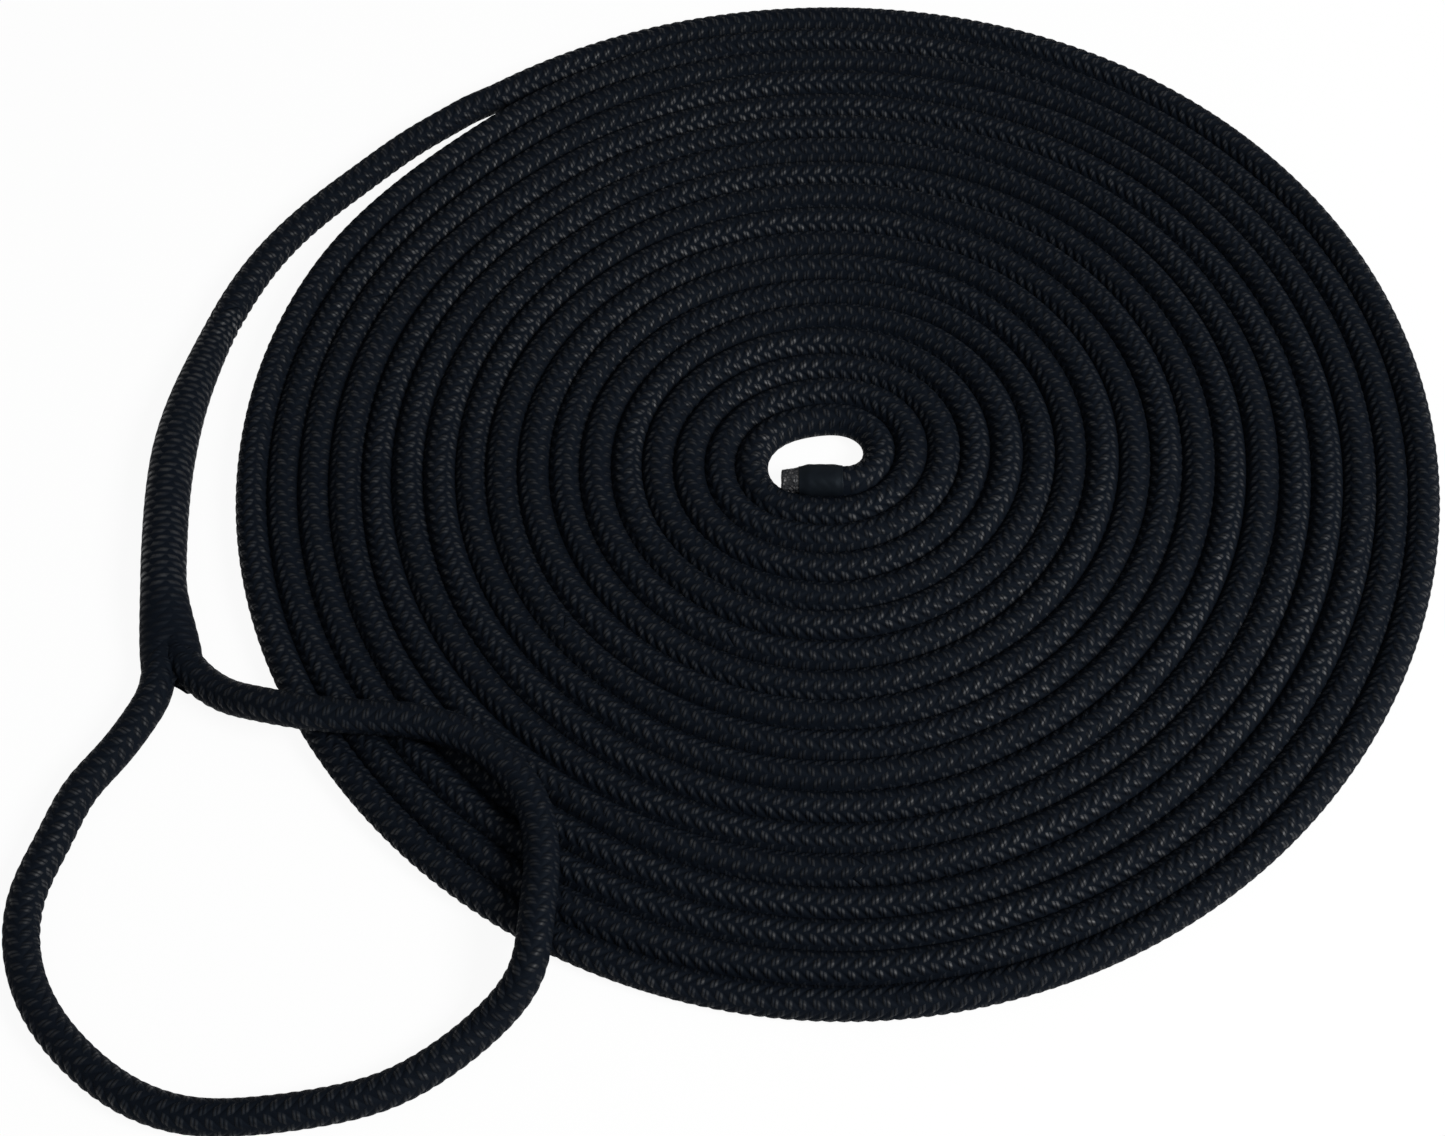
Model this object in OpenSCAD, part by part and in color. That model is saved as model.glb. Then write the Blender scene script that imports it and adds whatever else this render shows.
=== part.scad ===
// Double-braid dock line, laid down in a flat coil, with a spliced eye at its free end.
// All sizes are in millimetres. The line lies on the plane z = 0.

/* [Rope] */
// Diameter of the rope
rope_d = 12.7; // [8:0.1:16]
// Wall of the braided cover round the core
cover_wall = 1.9; // [1.2:0.1:2.6]

/* [Coil] */
// Whole turns of the coil
full_turns = 17; // [4:1:22]
// Room between one turn and the next
lay_gap = 0.25; // [0.2:0.05:2]
// Direction in which the line leaves the coil, in degrees
leave_angle = 125; // [90:1:160]
// How far the turns swell along one direction and draw in across it
oval = 3.5; // [0:0.5:5]
// Direction along which the turns swell, in degrees
oval_angle = 18; // [0:1:179]
// Height of the three soft lobes of the outermost turn
lobe = 1.9; // [0:0.1:4]
// Direction of the first lobe, in degrees
lobe_angle = 36; // [0:1:119]
// How far the first turn lies from the middle of the coil
off_centre = 3.8; // [0:0.1:5]
// Direction in which the first turn lies off the middle, in degrees
off_angle = 208; // [180:1:240]

/* [Bitter end] */
// Length of the shrink sleeve
sleeve_len = 17; // [12:0.5:30]
// Wall of the shrink sleeve
sleeve_wall = 0.7; // [0.4:0.1:1.5]
// Length of the melted tip
tip_len = 7.5; // [4:0.5:10]
// Diameter of the melted tip at its blunt end
tip_end_d = 10; // [6:0.5:11]
// Radius in which the end bends into the first turn
end_bend_r = 15.5; // [12:0.5:25]

/* [Eye splice] */
// Diameter of the buried tail where it is full
tail_d = 9.2; // [5:0.1:10]
// Share of the splice's length over which the tail grows to its full thickness
tail_taper = 0.45; // [0.3:0.05:0.6]
// Angle of each leg of the eye to the splice at the throat, in degrees
leg_angle = 16; // [12:1:30]
// Rim of the throat round the legs of the eye
throat_rim = 0.4; // [0.2:0.1:1]

/* [Fits] */
// Room between the cover and what it holds
core_gap = 0.2; // [0.1:0.05:0.4]
// Room between the sleeve and the rope in it
sleeve_gap = 0.2; // [0.1:0.05:0.4]
// Room between the bitter end and the first turn
end_gap = 0.5; // [0.5:0.1:4]
// Room under the eye where it lies on the coil
seat_gap = 0.3; // [0.2:0.1:1]
// Room between the two legs of the eye at the throat
leg_gap = 0.6; // [0.5:0.1:2]
// Room between two end faces that meet
face_gap = 0.05; // [0.02:0.01:0.1]

/* [Hidden] */

// Routes of the stretches outside the coil. Each point gives the angle past the leaving
// direction in degrees, the clear room beside the outermost turn, which is negative over
// the coil, and the level: 0 is on the floor and 1 is on top of the coil.
RUN_ROUTE = [[7, 1, 0], [12.5, 2, 0], [19, 4.5, 0], [25, 9, 0], [31, 13, 0], [36, 15, 0]];
SPLICE_ROUTE = [[40, 16, 0], [44.5, 17, 0], [48, 18, 0], [51.5, 19, 0], [55.5, 20, 0],
                [60, 21, 0], [64.5, 22.5, 0], [68.5, 24.5, 0], [72, 26, 0], [75.5, 28, 0]];
EYE_ROUTE = [[79, 46, 0], [81, 61, 0], [82.5, 76, 0], [85, 93, 0], [87.5, 110, 0], [90.5, 122, 0],
             [94, 128, 0], [98, 128, 0], [102, 123, 0], [105, 114, 0], [108, 99, 0],
             [111, 82, 0], [113.5, 66, 0], [115.5, 47, 0], [117, 27, 0.05], [118, 6, 0.75],
             [116.5, -13, 1], [114.5, -29, 1], [110, -48, 1], [105, -55, 1], [98, -53, 1],
             [93, -42, 1], [89.5, -27, 1], [86, -9.5, 1], [82.5, 5, 0.65], [80.5, 12, 0.3]];

// Where the first turn starts, in degrees
start_angle = 11.5;
// Corners of the coiled rope's section, on the rope's round, with a flat one tenth of
// its diameter deep at the bottom
flat_depth = rope_d / 10;
flat_corner = asin(1 - 2 * flat_depth / rope_d);
COIL_CORNERS = [-flat_corner, 18, 70, 110, 162, 180 + flat_corner];
RINGS_PER_TURN = 24;
STRETCH_SIDES = 12;

rope_r = rope_d / 2;
pitch = rope_d + lay_gap;
turns = full_turns + (leave_angle - start_angle) / 360;
coil_z = rope_r - flat_depth;
coil_top = coil_z + rope_r * sin(COIL_CORNERS[2]);
// The hollow stretches are cut flat half a wall deep where they lie on the floor
stretch_flat = cover_wall / 2;
stretch_z = rope_r - stretch_flat;
top_z = coil_top + seat_gap + rope_r;
core_r = rope_r - cover_wall - core_gap;
tail_r = tail_d / 2;
full_core_r = sqrt(core_r ^ 2 + (tail_r + core_gap) ^ 2);
sleeve_bore_r = rope_r + sleeve_gap;
sleeve_r = sleeve_bore_r + sleeve_wall;
sleeve_setback = 0.5;
throat_half_w = leg_gap / 2 + rope_d + throat_rim;
throat_half_h = rope_r + throat_rim;
// Share of the splice's length at which it starts to widen towards the throat
throat_from = 0.76;

// Vectors and easing
function unit(v) = v / norm(v);
function flat_dir(a) = [cos(a), sin(a)];
function smooth(x) = let (c = min(1, max(0, x))) c * c * (3 - 2 * c);
function reversed(list) = [for (i = [len(list) - 1:-1:0]) list[i]];
function sum_to(list, n, i = 0) = i >= n ? 0 : list[i] + sum_to(list, n, i + 1);

// Middle line of the coil after t turns: an outward spiral, a little oval, whose lobes grow
// and whose middle moves back to the origin turn by turn
function coil_angle(t) = start_angle + 360 * t;
function coil_middle(t) = off_centre * (1 - t / turns) * flat_dir(off_angle);
function coil_radius(t, first) = first + pitch * t + oval * cos(2 * (coil_angle(t) - oval_angle))
    + lobe * t / turns * cos(3 * (coil_angle(t) - lobe_angle));
function coil_xy(t, first) = coil_middle(t) + coil_radius(t, first) * flat_dir(coil_angle(t));
function coil_heading(t, first) = let (v = coil_xy(t + 0.001, first) - coil_xy(t - 0.001, first))
    atan2(v.y, v.x);

// The tip's shoulder lies inside the rope's round, and its blunt end has a rounded rim
tip_shoulder = 0.3;
tip_base_r = rope_r - tip_shoulder;
tip_end_r = tip_end_d / 2;
tip_rim = 1.2;

// Bitter end: a straight length along +X, then a bend that runs into the first turn
end_straight = sleeve_len + 2 * sleeve_setback;
function bend_middle(first) = coil_xy(0, first) - end_bend_r * flat_dir(coil_heading(0, first) - 90);
function bend_xy(a, first) = bend_middle(first) + end_bend_r * flat_dir(a - 90);
function end_xy(s, first) = bend_xy(0, first) - [end_straight - s, 0];

// The first turn grows until the bitter end lies inside it with its room
function end_corners(first) = [
    end_xy(sleeve_setback, first) + [0, -sleeve_r],
    end_xy(sleeve_setback + sleeve_len, first) + [0, -sleeve_r],
    end_xy(0, first) + [0, -rope_r],
    end_xy(0, first) + [0, rope_r],
    end_xy(-tip_len, first) + [0, -tip_end_r],
    end_xy(-tip_len, first) + [0, tip_end_r]];
first_turn = [0.2:1 / RINGS_PER_TURN:1.1];
growth = 0.1;
function end_room(first) = min([for (p = end_corners(first), t = first_turn)
    norm(p - coil_xy(t, first))]) - rope_r;
function grown_turn(first) = end_room(first) >= end_gap ? first : grown_turn(first + growth);
first_r = grown_turn(end_bend_r);

// A station is a point and a direction in space
function station(p, z, a) = [[p.x, p.y, z], [cos(a), sin(a), 0]];
function moved(st, d) = [st[0] + d * st[1], st[1]];

bend_turn = coil_heading(0, first_r);
bend_steps = 6;
coil_steps = floor(turns * RINGS_PER_TURN);
END_STATIONS = [for (s = [0, sleeve_len / 2, end_straight - 1]) station(end_xy(s, first_r), sleeve_r, 0)];
BEND_STATIONS = [for (i = [0:bend_steps - 1]) let (a = bend_turn * i / bend_steps)
    station(bend_xy(a, first_r), sleeve_r + (coil_z - sleeve_r) * smooth(i / bend_steps), a)];
TURN_STATIONS = [for (i = [0:coil_steps]) let (t = turns * i / coil_steps)
    station(coil_xy(t, first_r), coil_z, coil_heading(t, first_r))];
COIL_END = moved(TURN_STATIONS[coil_steps], rope_d);
COIL_STATIONS = concat(END_STATIONS, BEND_STATIONS, TURN_STATIONS, [COIL_END]);

// Points of a route, beside or on the outermost turn
function route_xy(q) = let (t = turns - 1 + q[0] / 360)
    coil_xy(t, first_r) + (rope_d + q[1]) * flat_dir(coil_angle(t));
function route_points(route, low) =
    [for (q = route) let (p = route_xy(q)) [p.x, p.y, low + q[2] * (top_z - low)]];
// Stations at the points of a line, each heading along the chord of its neighbours
function line_stations(pts) = let (n = len(pts) - 1)
    [for (i = [0:n]) [pts[i], unit(pts[min(n, i + 1)] - pts[max(0, i - 1)])]];

// Standing part between the coil and the throat
RUN_POINTS = concat([moved(COIL_END, face_gap)[0], moved(COIL_END, rope_d)[0] + [0, 0, stretch_z - coil_z]],
                    route_points(RUN_ROUTE, stretch_z));
SPLICE_POINTS = route_points(SPLICE_ROUTE, stretch_z);
STANDING_STATIONS = line_stations(concat(RUN_POINTS, SPLICE_POINTS));
splice_from = len(RUN_POINTS);
splice_steps = len(SPLICE_POINTS) - 1;
RUN_STATIONS = concat([station(RUN_POINTS[0], coil_z, atan2(COIL_END[1].y, COIL_END[1].x))],
                      [for (i = [1:splice_from]) STANDING_STATIONS[i]]);
// The splice starts at its first route point; what it holds ends short of the throat
SPLICE_STEP_LENGTHS = [for (i = [0:splice_steps - 1]) norm(SPLICE_POINTS[i + 1] - SPLICE_POINTS[i])];
splice_len = sum_to(SPLICE_STEP_LENGTHS, splice_steps);
SPLICE_SHARE = [for (i = [0:splice_steps]) sum_to(SPLICE_STEP_LENGTHS, i) / splice_len];
held_steps = splice_steps - 2;

// Radius of the core, swollen by the tail that it holds, and of the tail's own bore
function swollen_core_r(u) = core_r + (full_core_r - core_r) * smooth(u / tail_taper);
function tail_bore_r(u) = sqrt(swollen_core_r(u) ^ 2 - core_r ^ 2);
function round_r(u) = swollen_core_r(u) + core_gap + cover_wall;
function widening(u) = smooth((u - throat_from) / (1 - throat_from));
function splice_half_w(u) = round_r(u) + (throat_half_w - round_r(u)) * widening(u);
function splice_half_h(u) = round_r(u) + (throat_half_h - round_r(u)) * widening(u);
// The splice rests on the floor, so its axis rises as it swells
function splice_station(i) = let (st = STANDING_STATIONS[splice_from + i], u = SPLICE_SHARE[i])
    [[st[0].x, st[0].y, splice_half_h(u) - stretch_flat], st[1]];
SPLICE_STATIONS = [for (i = [0:splice_steps]) splice_station(i)];

// Throat: two upright faces that meet in a ridge, one square to each leg of the eye
THROAT = SPLICE_STATIONS[splice_steps];
throat_heading = atan2(THROAT[1].y, THROAT[1].x);
function leg_heading(side) = throat_heading + side * leg_angle;
function leg_start(side) = let (a = leg_heading(side))
    station(THROAT[0] + (rope_r + leg_gap / 2) * [cos(a + side * 90), sin(a + side * 90), 0], THROAT[0].z, a);
LEFT_LEG = moved(leg_start(-1), face_gap);
RIGHT_LEG = moved(leg_start(1), face_gap);
EYE_POINTS = concat([LEFT_LEG[0], moved(LEFT_LEG, rope_d)[0]], route_points(EYE_ROUTE, stretch_z),
                    [moved(RIGHT_LEG, rope_d)[0], RIGHT_LEG[0]]);
EYE_MIDDLE = line_stations(EYE_POINTS);
eye_last = len(EYE_POINTS) - 1;
EYE_STATIONS = concat([LEFT_LEG], [for (i = [1:eye_last - 1]) EYE_MIDDLE[i]],
                      [[RIGHT_LEG[0], -RIGHT_LEG[1]]]);

// Rings of points square to a station. No point lies below the floor.
function on_floor(p) = [p.x, p.y, max(0, p.z)];
function across(st) = unit([st[1].y, -st[1].x, 0]);
function ring(st, half_w, half_h, angles) = let (side = across(st), up = cross(side, st[1]))
    [for (a = angles) on_floor(st[0] + half_w * cos(a) * side + half_h * sin(a) * up)];
ROUND_ANGLES = [for (i = [0:STRETCH_SIDES - 1]) 360 * i / STRETCH_SIDES];
function round_ring(st, r) = ring(st, r, r, ROUND_ANGLES);
function round_rings(stations, r) = [for (st = stations) round_ring(st, r)];
// The throat's ring has round ends, straight top and bottom, and leans back from its ridge
function side_of(a) = abs(cos(a)) < 0.01 ? 0 : sign(cos(a));
function throat_ring() = let (side = across(THROAT), h = throat_half_h)
    [for (a = ROUND_ANGLES) let (w = h * cos(a) + (throat_half_w - h) * side_of(a))
        on_floor(THROAT[0] + w * cos(leg_angle) * side - abs(w) * sin(leg_angle) * THROAT[1]
                 + [0, 0, h * sin(a)])];

// A skin of triangles over rings: closed by end caps, or closed on itself
function band_faces(i, j, sides) = [for (k = [0:sides - 1], half = [0, 1]) let (m = (k + 1) % sides)
    half == 0 ? [i * sides + k, i * sides + m, j * sides + m] : [i * sides + k, j * sides + m, j * sides + k]];
function cap_faces(base, sides, turned) = let (top = floor(sides / 4))
    [for (k = [1:sides - 2]) let (a = base + (top + k) % sides, b = base + (top + k + 1) % sides)
        turned ? [base + top, b, a] : [base + top, a, b]];
function flat_list(lists) = [for (list = lists, item = list) item];
module capped_skin(rings) {
    sides = len(rings[0]);
    last = len(rings) - 1;
    polyhedron(flat_list(rings), concat(
        flat_list([for (i = [0:last - 1]) band_faces(i, i + 1, sides)]),
        cap_faces(0, sides, true), cap_faces(last * sides, sides, false)));
}
module ring_skin(rings) {
    sides = len(rings[0]);
    count = len(rings);
    polyhedron(flat_list(rings),
        flat_list([for (i = [0:count - 1]) band_faces(i, (i + 1) % count, sides)]));
}

COIL_RINGS = [for (st = COIL_STATIONS) ring(st, rope_r, rope_r, COIL_CORNERS)];
RUN_RINGS = round_rings(RUN_STATIONS, rope_r);
SPLICE_RINGS = concat(
    [for (i = [0:splice_steps - 1]) let (u = SPLICE_SHARE[i])
        ring(moved(SPLICE_STATIONS[i], i == 0 ? face_gap : 0), splice_half_w(u), splice_half_h(u), ROUND_ANGLES)],
    [throat_ring()]);
EYE_RINGS = round_rings(EYE_STATIONS, rope_r);

// The origin is under the middle of the whole line's box
OUTSIDE = flat_list(concat(COIL_RINGS, RUN_RINGS, SPLICE_RINGS, EYE_RINGS));
function box_middle(v) = (min(v) + max(v)) / 2;
ORIGIN = [box_middle([for (p = OUTSIDE) p.x]), box_middle([for (p = OUTSIDE) p.y]), 0];
module placed() { translate(-ORIGIN) children(); }

// Least distance between rings of the coil that are most of a turn apart, at the rings and
// halfway between them
function halfway(a, b) = [for (k = [0:len(a) - 1]) (a[k] + b[k]) / 2];
function ring_room(a, b) = min([for (p = a, q = b) norm(p - q)]);
next_turn = [floor(0.6 * RINGS_PER_TURN):ceil(1.1 * RINGS_PER_TURN)];
function least_room(rings) = min([for (i = [0:len(rings) - 1], d = next_turn) if (i + d < len(rings))
    ring_room(rings[i], rings[i + d])]);
module print_coil_room() {
    between = [for (i = [0:len(COIL_RINGS) - 2]) halfway(COIL_RINGS[i], COIL_RINGS[i + 1])];
    echo(least_gap_of_the_coil_mm = min(least_room(COIL_RINGS), least_room(between)));
}

rope_black = [0.055, 0.06, 0.075];

// Coiled rope with its cover and core, from the sealed bitter end to the point where it leaves
module coil() {
    print_coil_room();
    color(rope_black) placed() capped_skin(COIL_RINGS);
}

// Shrink sleeve over the bitter end, its edges drawn in on the rope
module end_sleeve() {
    edge = sleeve_wall / 2;
    p = end_xy(sleeve_setback, first_r);
    color([0.05, 0.05, 0.055]) placed() translate([p.x, p.y, sleeve_r]) rotate([0, 90, 0])
        rotate_extrude($fn = 64) polygon([
            [sleeve_bore_r, 0], [sleeve_r - edge, 0], [sleeve_r, edge],
            [sleeve_r, sleeve_len - edge], [sleeve_r - edge, sleeve_len], [sleeve_bore_r, sleeve_len]]);
}

// Melted tip that seals the yarns: a short cone, cut off blunt, with a rounded rim
module sealed_tip() {
    steps = 5;
    p = end_xy(-face_gap, first_r);
    color([0.16, 0.17, 0.19]) placed() translate([p.x, p.y, sleeve_r]) rotate([0, -90, 0])
        rotate_extrude($fn = 64) polygon(concat(
            [[0, 0], [tip_base_r, 0]],
            [for (i = [0:steps]) let (a = 90 * i / steps)
                [tip_end_r - tip_rim * (1 - cos(a)), tip_len - tip_rim * (1 - sin(a))]],
            [[0, tip_len]]));
}

// Braided cover of the free stretch between the coil and the splice
module run_cover() {
    color(rope_black) placed()
        ring_skin(concat(RUN_RINGS, reversed(round_rings(RUN_STATIONS, rope_r - cover_wall))));
}

// Cover drawn over the splice, with the crossing of the legs closed at its throat
module splice_cover() {
    bore = [for (i = [held_steps:-1:0])
        round_ring(moved(SPLICE_STATIONS[i], i == 0 ? face_gap : 0), swollen_core_r(SPLICE_SHARE[i]) + core_gap)];
    color(rope_black) placed() capped_skin(concat(bore, SPLICE_RINGS));
}

// What the splice holds ends one core gap before the end of the cover's bore
HELD_STATIONS = [for (i = [0:held_steps]) moved(SPLICE_STATIONS[i], i == held_steps ? -core_gap : 0)];

// Core of the standing part, from the coil into the splice, hollow where it holds the tail
module standing_core() {
    run = [for (i = [0:len(RUN_STATIONS) - 2]) round_ring(RUN_STATIONS[i], core_r)];
    swollen = [for (i = [0:held_steps]) round_ring(HELD_STATIONS[i], swollen_core_r(SPLICE_SHARE[i]))];
    bore = [for (i = [held_steps:-1:1])
        round_ring(moved(HELD_STATIONS[i], i == 1 ? -core_gap : 0), tail_bore_r(SPLICE_SHARE[i]))];
    color([0.85, 0.85, 0.82]) placed() capped_skin(concat(run, swollen, bore));
}

// Tail of the cover, tapered and buried inside the core
module buried_tail() {
    color([0.1, 0.1, 0.12]) placed() capped_skin(
        [for (i = [1:held_steps]) round_ring(HELD_STATIONS[i], tail_bore_r(SPLICE_SHARE[i]) - core_gap)]);
}

// Braided cover of the eye, leg to leg
module eye_cover() {
    color(rope_black) placed()
        ring_skin(concat(EYE_RINGS, reversed(round_rings(EYE_STATIONS, rope_r - cover_wall))));
}

// Core inside the eye
module eye_core() {
    color([0.85, 0.85, 0.82]) placed() capped_skin(round_rings(EYE_STATIONS, core_r));
}

coil();
end_sleeve();
sealed_tip();
run_cover();
splice_cover();
standing_core();
buried_tail();
eye_cover();
eye_core();
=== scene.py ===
"""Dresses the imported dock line: braided cover, core, eye splice, shrink sleeve and melted tip."""

import math

import bpy
import numpy as np
from bpy.props import FloatProperty, FloatVectorProperty, IntProperty, PointerProperty
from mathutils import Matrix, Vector


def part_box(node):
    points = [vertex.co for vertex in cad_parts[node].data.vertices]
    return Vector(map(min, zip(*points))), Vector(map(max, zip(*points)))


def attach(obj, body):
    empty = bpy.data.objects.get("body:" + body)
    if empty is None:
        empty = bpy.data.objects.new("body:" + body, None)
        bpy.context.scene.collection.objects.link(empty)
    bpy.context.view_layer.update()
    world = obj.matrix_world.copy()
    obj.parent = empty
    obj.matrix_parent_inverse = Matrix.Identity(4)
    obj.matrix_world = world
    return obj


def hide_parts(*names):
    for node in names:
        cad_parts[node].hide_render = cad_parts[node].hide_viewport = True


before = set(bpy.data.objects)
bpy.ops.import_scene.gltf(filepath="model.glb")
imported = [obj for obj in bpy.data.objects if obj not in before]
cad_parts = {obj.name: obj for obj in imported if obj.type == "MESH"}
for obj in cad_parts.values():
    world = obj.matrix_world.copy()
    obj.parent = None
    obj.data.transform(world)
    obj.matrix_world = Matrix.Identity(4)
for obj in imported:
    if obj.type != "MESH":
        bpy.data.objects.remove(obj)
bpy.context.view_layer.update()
SLEEVE_LOW, SLEEVE_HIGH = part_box("end_sleeve")
TIP_LOW, TIP_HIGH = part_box("sealed_tip")

bl_info = {
    "name": "Coiled Dock Line",
    "version": (1, 0, 0),
    "blender": (4, 5, 0),
    "location": "View3D > Sidebar > Dock Line",
    "description": "Makes a coiled double-braid dock line with a spliced eye",
    "category": "Add Mesh",
}

BODY = "root"
BRAID_MAP = "braid"
BAKE_MAP = "OFBake"
SENSOR_MM = 36.0
COOL_TINT = (0.7, 0.85, 1.0, 1.0)

# Form of a strand in the braid: powers of its crown and of its rise, and the rise's reach in columns
CROWN_POWER, RISE_POWER, RISE_REACH = 0.9, 0.8, 1.4

# Rows of a braided cover to each pick, and points to each pair of columns
COARSE, FINE = (6, 4), (12, 6)

# Routes of the stretches outside the coil. Each point gives the angle past the leaving direction in
# degrees, the clear room beside the outermost turn in metres, which is negative over the coil, and
# the level: 0 is on the floor and 1 is on top of the coil.
RUN_ROUTE = [(7, 0.0015, 0), (12.5, 0.003, 0), (19, 0.005, 0), (25, 0.009, 0), (31, 0.013, 0),
             (36, 0.015, 0)]
SPLICE_ROUTE = [(40, 0.016, 0), (44.5, 0.017, 0), (48, 0.018, 0), (51.5, 0.019, 0), (55.5, 0.02, 0),
                (60, 0.021, 0), (64.5, 0.0225, 0), (68.5, 0.0245, 0), (72, 0.026, 0), (75.5, 0.028, 0)]
EYE_ROUTE = [(79, 0.046, 0), (81, 0.061, 0), (82.5, 0.076, 0), (85, 0.093, 0), (87.5, 0.11, 0),
             (90.5, 0.122, 0), (94, 0.128, 0), (98, 0.128, 0), (102, 0.123, 0), (105, 0.114, 0),
             (108, 0.099, 0), (111, 0.082, 0), (113.5, 0.066, 0), (115.5, 0.047, 0), (117, 0.027, 0.05),
             (118, 0.006, 0.75), (116.5, -0.013, 1), (114.5, -0.029, 1), (110, -0.048, 1),
             (105, -0.055, 1), (98, -0.053, 1), (93, -0.042, 1), (89.5, -0.027, 1), (86, -0.0095, 1),
             (82.5, 0.005, 0.65), (80.5, 0.012, 0.3)]


def maker(prop, **fixed):
    """A maker of one kind of property, which takes a name, a description and a default."""
    def make(name, description, default):
        return prop(name=name, description=description, default=default, **fixed)

    return make


# Lengths and places are in metres, and colours are linear
length = maker(FloatProperty, unit="LENGTH", precision=5)
share = maker(FloatProperty, precision=3)
focal = maker(FloatProperty, unit="CAMERA")
count = maker(IntProperty, min=1)
colour = maker(FloatVectorProperty, size=3, subtype="COLOR", min=0.0, max=1.0)
place = maker(FloatVectorProperty, size=3, subtype="XYZ", unit="LENGTH")


def angle(name, description, degrees):
    """An angle, given here in degrees."""
    return FloatProperty(name=name, description=description, default=math.radians(degrees), subtype="ANGLE")


class RopeSizes(bpy.types.PropertyGroup):
    """The rope and its braid."""

    diameter: length("Rope diameter", "Outside diameter of the rope", 0.0127)
    proud: length("Proud", "How far the crowns of the braid stand out of the rope's round", 0.0001)
    relief: length("Relief", "Depth of the gaps between the strands", 0.0008)
    swell: length("Swell", "How much fuller the rope is in the splice and the eye", 0.0005)
    swell_length: length("Swell length", "Length of rope over which it swells", 0.06)
    spread: length("Spread", "How far the turns of the coil spread against each other", 0.0007)
    cover_wall: length("Cover wall", "Thickness of the cover over the core as it is drawn here", 0.001)
    core_gap: length("Core gap", "Room between the cover and the core", 0.0001)
    coil_sink: length("Coil sink", "How far the turns settle on the floor", 0.00127)
    stretch_sink: length("Stretch sink", "How far the stretches outside the coil settle", 0.00095)
    carriers: count("Carriers", "Strands of the braid, half of them laid each way", 16)
    pick: length("Pick", "Distance along the rope between strands laid the same way", 0.005)
    roll_start: angle("Roll start", "Turn of the braid round the rope at the bitter end", 19)
    roll: angle("Roll", "How far the braid rolls to and fro round the rope", 80)
    roll_length: length("Roll length", "Length of rope over which the roll comes back", 1.7)


class CoilSizes(bpy.types.PropertyGroup):
    """The flat coil."""

    whole_turns: count("Whole turns", "Whole turns of the coil", 17)
    lay_gap: length("Lay gap", "Room between one turn and the next", 0.00025)
    first_radius: length("First radius", "Radius of the first turn at its start", 0.0206)
    start_angle: angle("Start angle", "Where the first turn starts", 11.5)
    leave_angle: angle("Leave angle", "Direction in which the line leaves the coil", 125)
    oval: length("Oval", "How far the turns swell along one direction and draw in across it", 0.0035)
    oval_angle: angle("Oval angle", "Direction along which the turns swell", 18)
    lobe: length("Lobe", "Height of the three soft lobes of the outermost turn", 0.0019)
    lobe_angle: angle("Lobe angle", "Direction of the first lobe", 36)
    off_centre: length("Off centre", "How far the first turn lies from the middle of the coil", 0.0038)
    off_angle: angle("Off angle", "Direction in which the first turn lies off the middle", 208)
    nestle: length("Nestle", "How far the first turn leans in below the sleeve", 0.0027)
    wander: length("Wander", "How far the turns stray from an even spiral", 0.00008)
    ride: length("Ride", "How far some stretches of the turns ride up", 0.0009)
    drawn_in: length("Drawn in", "How far the outermost turn is drawn in beside the run's start", 0.004)
    knots_per_turn: count("Knots per turn", "Points of the middle line in one turn", 36)
    cover_lengths: count("Cover lengths", "Pieces that the cover of the coil is made in", 7)


class EndSizes(bpy.types.PropertyGroup):
    """The bitter end. The sleeve's and the tip's own sizes come from the solids."""

    bend_radius: length("Bend radius", "Radius in which the end bends into the first turn", 0.0155)
    sleeve_setback: length("Sleeve setback", "Rope left bare beside each end of the sleeve", 0.0005)
    sleeve_wall: length("Sleeve wall", "Wall of the shrink sleeve", 0.0007)


class SpliceSizes(bpy.types.PropertyGroup):
    """The eye splice."""

    cover_wall: length("Cover wall", "Real wall of the cover round the core", 0.0019)
    core_gap: length("Core gap", "Room between the cover and what it holds", 0.0002)
    tail_diameter: length("Tail diameter", "Diameter of the buried tail where it is full", 0.0092)
    tail_taper: share("Tail taper", "Share of the splice over which the tail grows thick", 0.45)
    throat_from: share("Throat from", "Share of the splice at which it starts to widen", 0.76)
    throat_rim: length("Throat rim", "Rim of the throat round the legs of the eye", 0.0004)
    leg_angle: angle("Leg angle", "Angle of each leg of the eye to the splice", 16)
    leg_press: length("Leg press", "How far the two soft legs press together at the throat", 0.003)
    seat_gap: length("Seat gap", "Room under the eye where it lies on the coil", 0.0003)
    pick: length("Splice pick", "Pick of the braid where the splice has opened it", 0.0058)
    tuck: length("Tuck", "How far the cover goes on over the legs", 0.009)


class RopeColours(bpy.types.PropertyGroup):
    """Finishes."""

    # Paler colour painted on the strokes of the braid's crowns: a painted highlight for the sheen of the
    # plies
    sheen: colour("Yarn", "Nylon yarn on the crowns of the braid", (0.0034, 0.0044, 0.0065))
    gap: colour("Gap", "Yarn in the gaps between the strands", (0.0023, 0.0034, 0.0058))
    core: colour("Core", "Core inside the cover", (0.62, 0.62, 0.58))
    sleeve: colour("Sleeve", "Shrink sleeve", (0.0026, 0.0036, 0.0050))
    tip: colour("Tip", "Melted nylon of the tip", (0.0100, 0.0110, 0.0130))
    tip_speck: colour("Tip speck", "Pale specks in the melted tip", (0.070, 0.068, 0.068))
    floor: colour("Floor", "Pale floor", (0.75, 0.75, 0.75))


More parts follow.
